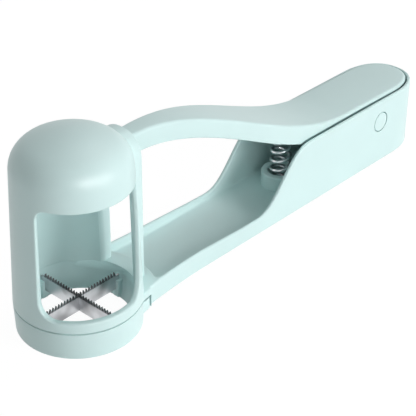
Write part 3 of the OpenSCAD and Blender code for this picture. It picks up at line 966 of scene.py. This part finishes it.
class SLICER_OT_base_ring(Operator):
    """Model the base ring with its tongue and blade seats"""

    bl_idname = "slicer.base_ring"
    bl_label = "Base ring"

    def execute(self, context):
        h, k, s = sizes("head"), sizes("works"), sizes("handle")
        foot, bore, top, spigot, seam = k.foot, k.bore, k.spigot_top, k.spigot, h.seam
        play, belly, crest, mouth, funnel, drop, dip_from = 0.05, 5.5, 0.1, 0.5, 1.2, 0.3, 6.0
        outer = wall_radius(h, seam) - play
        r = outer - k.lean
        outline = [(bore + mouth, 0.0)] + arc(r - foot, foot, foot, -90, 0, 6) + [((r + outer) / 2, belly)]
        outline += arc(outer - crest, seam - crest, crest, 0, 90, 2)
        outline += [(spigot, seam), (spigot, top), (spigot - crest, top)]
        outline += [(bore + (spigot - crest - bore) * i / 8, funnel + (top - drop - funnel) * i / 8)
                    for i in range(8, -1, -1)]
        outline += arc(bore + mouth, mouth, mouth, 180, 270, 4)[:-1]
        obj = blank("ring")
        trace(obj, [(x, 0, z) for x, z in outline + outline[:1]])
        select_all()
        bpy.ops.mesh.spin(steps=144, angle=2 * pi, center=(0, 0, 0), axis=(0, 0, 1))
        clean(FINE)
        pick(obj, "VERT", lambda c, v: seam - 2 * crest - NEAR < c.z < seam + NEAR
             and hypot(c.x, c.y) > spigot - NEAR)
        place(obj, lambda co: co + Vector((0, 0, seam_at(h, co.x) - seam)))
        # The spigot dips with the seam
        pick(obj, "VERT", lambda c, v: c.z > dip_from and hypot(c.x, c.y) < spigot + NEAR
             and not seam - NEAR < c.z < seam + NEAR)
        place(obj, lambda co: co + Vector((0, 0, (seam_at(h, co.x) - seam)
                                           * ease((co.z - dip_from) / (seam - dip_from)))))
        plastic(obj, "blade_ring", "base_ring")
        # The tongue's ears carry the handle's outline forward to the ring
        for name, side in (("tongue_ear_near", -1), ("tongue_ear_far", 1)):
            deselect()
            bpy.ops.mesh.primitive_cube_add(size=1, location=(0, 0, 0.5))
            obj = begin(name)
            x0, x1, in0, in1, lower = 12.0, h.tongue, 16.0, 13.0, 15.5
            wide = {x0: (in0, handle_half_at(s, h, x0)), x1: (in1, handle_half_at(s, h, x1))}

            def ear(co):
                """Place of a cube's corner on the ear."""
                x = x1 if co.x > 0 else x0
                return Vector((x, side * wide[x][co.y > 0], h.seam_low if co.z > 0.5 else s.under))

            place(obj, ear)
            clean()
            # The lower edge is rounded as the handle's is
            pick(obj, "EDGE", lambda c, e: abs(c.z - s.under) < NEAR and abs(c.y) > lower)
            bpy.ops.mesh.bevel(offset=s.foot_round, segments=5)
            plastic(obj, "blade_ring")
        # One seat is modelled and turned to each end of the blades
        seat, seat_in, seat_z, front, edge = (2.6, 3.0, 6.8), 0.3, 4.2, 0.6, 0.25
        for turn, name in enumerate(("rear", "far", "front", "near")):
            deselect()
            bpy.ops.mesh.primitive_cube_add(size=1, location=(bore + seat_in, 0, seat_z), scale=seat)
            obj = begin("blade_seat_" + name)
            pick(obj, "EDGE", lambda c, e: c.x < bore and abs(e.verts[0].co.z - e.verts[1].co.z) > 1)
            bpy.ops.mesh.bevel(offset=front, segments=3)
            soften(obj, edge)
            obj.rotation_euler = (0, 0, turn * pi / 2)
            plastic(obj, "blade_ring")
        return {"FINISHED"}


class SLICER_OT_blades(Operator):
    """Model the two crossed blades with their comb of teeth"""

    bl_idname = "slicer.blades"
    bl_label = "Blades"

    def execute(self, context):
        b = sizes("blades")
        low, root, tip, middle = b.low, b.tip - b.tooth, b.tip, (b.low + b.tip) / 2
        play, mid_root, mid_tip = 0.05, 0.35, 0.1
        end, slit, thick = b.reach, b.thick / 2 + play, b.thick
        # A tooth's outline in shares of the pitch
        tooth = ((0.92, root), (0.5, tip), (0.38, tip), (0.2, root))
        teeth = []
        for i in range(int((b.toothed - slit) / b.pitch)):
            foot = b.toothed - (i + 1) * b.pitch
            teeth += [(foot + share * b.pitch, z) for share, z in tooth]
        for which, slit_up in (("long", True), ("cross", False)):
            obj = blank("blade_strip_" + which)
            half = [(end, low), (end, root)] + teeth
            half += [(slit, root), (slit, middle)] if slit_up else [(mid_root, root), (mid_tip, tip)]
            base = [] if slit_up else [(-slit, middle), (slit, middle), (slit, low)]
            outline = half + [(-x, z) for x, z in reversed(half)] + ([(-slit, low)] + base if base else [])
            outline = [p for i, p in enumerate(outline) if p != outline[i - 1]]
            trace(obj, [(x, -thick / 2, z) for x, z in outline + outline[:1]])
            merge(FINE)
            select_all()
            bpy.ops.mesh.fill()
            select_all()
            extrude(0, thick, 0)
            clean(FINE)
            object_mode()
            obj.rotation_euler = (0, 0, 0 if slit_up else pi / 2)
            hand_over(obj, blade_steel(), "blade_ring", "blade_steel", "blade_" + which)
        return {"FINISHED"}


class SLICER_OT_spring(Operator):
    """Model the return spring"""

    bl_idname = "slicer.spring"
    bl_label = "Return spring"

    def execute(self, context):
        k = sizes("works")
        turns, steps, play, wire = 4.6, 180, 0.05, k.wire
        low, high = k.spring_low + play, k.spring_high - play
        deselect()
        bpy.ops.mesh.primitive_circle_add(vertices=16, radius=wire, location=(k.coil, 0, 0),
                                          rotation=(pi / 2, 0, 0))
        obj = begin("spring_coil")
        modify(obj, "SCREW", angle=2 * pi * turns, screw_offset=high - low - 2 * wire, steps=steps,
               render_steps=steps)
        edit_mode()
        pick(obj, "EDGE", lambda c, e: len(e.link_faces) == 1)
        bpy.ops.mesh.edge_face_add()
        clean(FINE)
        object_mode()
        obj.location = (k.spring_x, 0, low + wire)
        bpy.ops.object.transform_apply()
        hand_over(obj, wire_steel(), "frame", "spring_steel", "return_spring")
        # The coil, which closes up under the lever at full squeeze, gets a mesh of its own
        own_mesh(obj)
        return {"FINISHED"}


class SLICER_OT_plugs(Operator):
    """Model the flush plugs over the pivot pin"""

    bl_idname = "slicer.plugs"
    bl_label = "Pivot plugs"

    def execute(self, context):
        k, half, deep, edge = sizes("works"), sizes("handle").half, 1.25, 0.12
        for name, side in (("pin_plug_near", -1), ("pin_plug_far", 1)):
            disc(k.plug, deep, (k.pivot_x, side * (half - deep / 2), k.pivot_z), across=True)
            obj = begin(name + "_disc")
            soften(obj, edge)
            plastic(obj, "frame", name)
        return {"FINISHED"}


class SLICER_OT_inner_parts(Operator):
    """Finish the pin, screw and plunger, which keep their solids"""

    bl_idname = "slicer.inner_parts"
    bl_label = "Inner parts"

    def execute(self, context):
        finish = {"pivot_pin": wire_steel, "plunger_screw": wire_steel, "plunger": mint_plastic}
        for name, make in finish.items():
            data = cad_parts[name].data
            data.materials.clear()
            data.materials.append(make())
        return {"FINISHED"}


def area_lamp(name, place_at, aim, size, power):
    """A soft square lamp aimed at a point."""
    data = bpy.data.lights.new(name, "AREA")
    data.size = size
    data.energy = power
    lamp = bpy.data.objects.new(name, data)
    bpy.context.scene.collection.objects.link(lamp)
    lamp.location = place_at
    lamp.rotation_euler = (Vector(aim) - Vector(place_at)).to_track_quat("-Z", "Y").to_euler()
    return lamp


WHITE = (1.0, 1.0, 1.0, 1.0)
# Place and aim of each lamp in metres, its width in metres and its power in watts
LAMPS = {
    "key": ((0.36, -1.18, 0.38), (0.06, 0.0, 0.03), 0.6, 9.7),
    "shine": ((-0.28, -1.13, 0.52), (0.0, 0.0, 0.06), 0.42, 11.0),
    "fill": ((-0.52, -1.02, 0.55), (0.0, 0.0, 0.04), 0.5, 1.2),
    "top": ((0.75, 0.1, 1.1), (0.06, 0.0, 0.03), 0.8, 3.5),
}
# Place of the camera in metres, its azimuth, elevation and roll in degrees and its lens in millimetres
EYE, GAZE, LENS = (-0.24748, -0.28572, 0.28395), (-47.503, 32.426, 0.43), 118.9


def seen_directly(tree):
    """A value that is 1 for what the lens sees, also in gloss or through glass."""
    path = node(tree, "ShaderNodeLightPath")
    seen = node(tree, "ShaderNodeMath", [(path, "Is Camera Ray", 0), (path, "Is Glossy Ray", 1)],
                operation="MAXIMUM")
    return node(tree, "ShaderNodeMath", [(seen, 0, 0), (path, "Is Transmission Ray", 1)],
                operation="MAXIMUM")


class SLICER_OT_stage(Operator):
    """Set up the floor, the light and the camera"""

    bl_idname = "slicer.stage"
    bl_label = "Stage"

    def execute(self, context):
        scene = context.scene
        scene.view_settings.view_transform = "Standard"
        deselect()
        bpy.ops.mesh.primitive_plane_add(size=6.0)
        floor = bpy.context.object
        floor.name = "floor"
        # Plain white paper: matt, and to the lens and in the steel as bright as the background
        material, tree, shader = new_material("paper_sweep_white")
        shader.inputs["Base Color"].default_value = linear(scene.slicer_colours.floor)
        shader.inputs["Roughness"].default_value = 0.9
        share = node(tree, "ShaderNodeMath", [(seen_directly(tree), 0, 0)], [(1, 0.9)], operation="MULTIPLY")
        glow = node(tree, "ShaderNodeEmission", (), [("Color", WHITE), ("Strength", 1.06)])
        mix = node(tree, "ShaderNodeMixShader", [(share, 0, 0), (shader, 0, 1), (glow, 0, 2)])
        tree.links.new(mix.outputs[0], tree.nodes["Material Output"].inputs["Surface"])
        floor.data.materials.append(material)

        # White to the lens and in the steel, and a soft grey fill on everything else
        world = bpy.data.worlds.new("studio")
        world.use_nodes = True
        scene.world = world
        tree = world.node_tree
        level = node(tree, "ShaderNodeMapRange", [(seen_directly(tree), 0, "Value")],
                     [("To Min", 0.31), ("To Max", 1.0)])
        back = tree.nodes["Background"]
        back.inputs["Color"].default_value = WHITE
        tree.links.new(level.outputs["Result"], back.inputs["Strength"])

        # A low key from the right, a shine in the gloss only, a weak fill and a lamp above the handle's end
        lamps = {name: area_lamp(name, *settings) for name, settings in LAMPS.items()}
        lamps["shine"].visible_diffuse = False

        # Lens and place of the camera, from the photograph's perspective
        azimuth, elevation, roll = (radians(a) for a in GAZE)
        flat = cos(elevation)
        back_way = Vector((sin(azimuth) * flat, -cos(azimuth) * flat, sin(elevation)))
        right = Vector((cos(azimuth), sin(azimuth), 0.0))
        up = back_way.cross(right)
        turned = cos(roll) * right + sin(roll) * up
        right, up = turned, cos(roll) * up - sin(roll) * right
        data = bpy.data.cameras.new("camera")
        data.sensor_width = 36.0
        data.lens = LENS
        data.clip_start = 0.01
        camera = bpy.data.objects.new("camera", data)
        scene.collection.objects.link(camera)
        turn = Matrix((right, up, back_way)).transposed().to_4x4()
        camera.matrix_world = Matrix.Translation(EYE) @ turn
        scene.camera = camera
        return {"FINISHED"}


class SLICER_PT_pieces(Panel):
    """Buttons for each piece"""

    bl_idname = "SLICER_PT_pieces"
    bl_label = "Grape slicer"
    bl_space_type = "VIEW_3D"
    bl_region_type = "UI"
    bl_category = "Slicer"

    def draw(self, context):
        for cls in OPERATORS:
            self.layout.operator(cls.bl_idname)


GROUPS = {"slicer_head": SlicerHead, "slicer_handle": SlicerHandle, "slicer_lever": SlicerLever,
          "slicer_works": SlicerWorks, "slicer_blades": SlicerBlades, "slicer_colours": SlicerColours}
OPERATORS = (SLICER_OT_head, SLICER_OT_collar, SLICER_OT_handle, SLICER_OT_spring_cup, SLICER_OT_base_ring,
             SLICER_OT_lever, SLICER_OT_lever_works, SLICER_OT_blades, SLICER_OT_spring, SLICER_OT_plugs,
             SLICER_OT_inner_parts, SLICER_OT_stage)
CLASSES = tuple(GROUPS.values()) + OPERATORS + (SLICER_PT_pieces,)


def register():
    for cls in CLASSES:
        bpy.utils.register_class(cls)
    for name, group in GROUPS.items():
        setattr(bpy.types.Scene, name, PointerProperty(type=group))


def unregister():
    for name in GROUPS:
        delattr(bpy.types.Scene, name)
    for cls in reversed(CLASSES):
        bpy.utils.unregister_class(cls)


def main():
    register()
    bpy.ops.slicer.head()
    bpy.ops.slicer.collar()
    bpy.ops.slicer.handle()
    bpy.ops.slicer.spring_cup()
    bpy.ops.slicer.base_ring()
    bpy.ops.slicer.lever()
    bpy.ops.slicer.lever_works()
    bpy.ops.slicer.blades()
    bpy.ops.slicer.spring()
    bpy.ops.slicer.plugs()
    bpy.ops.slicer.inner_parts()
    bpy.ops.slicer.stage()


if __name__ == "__main__":
    main()
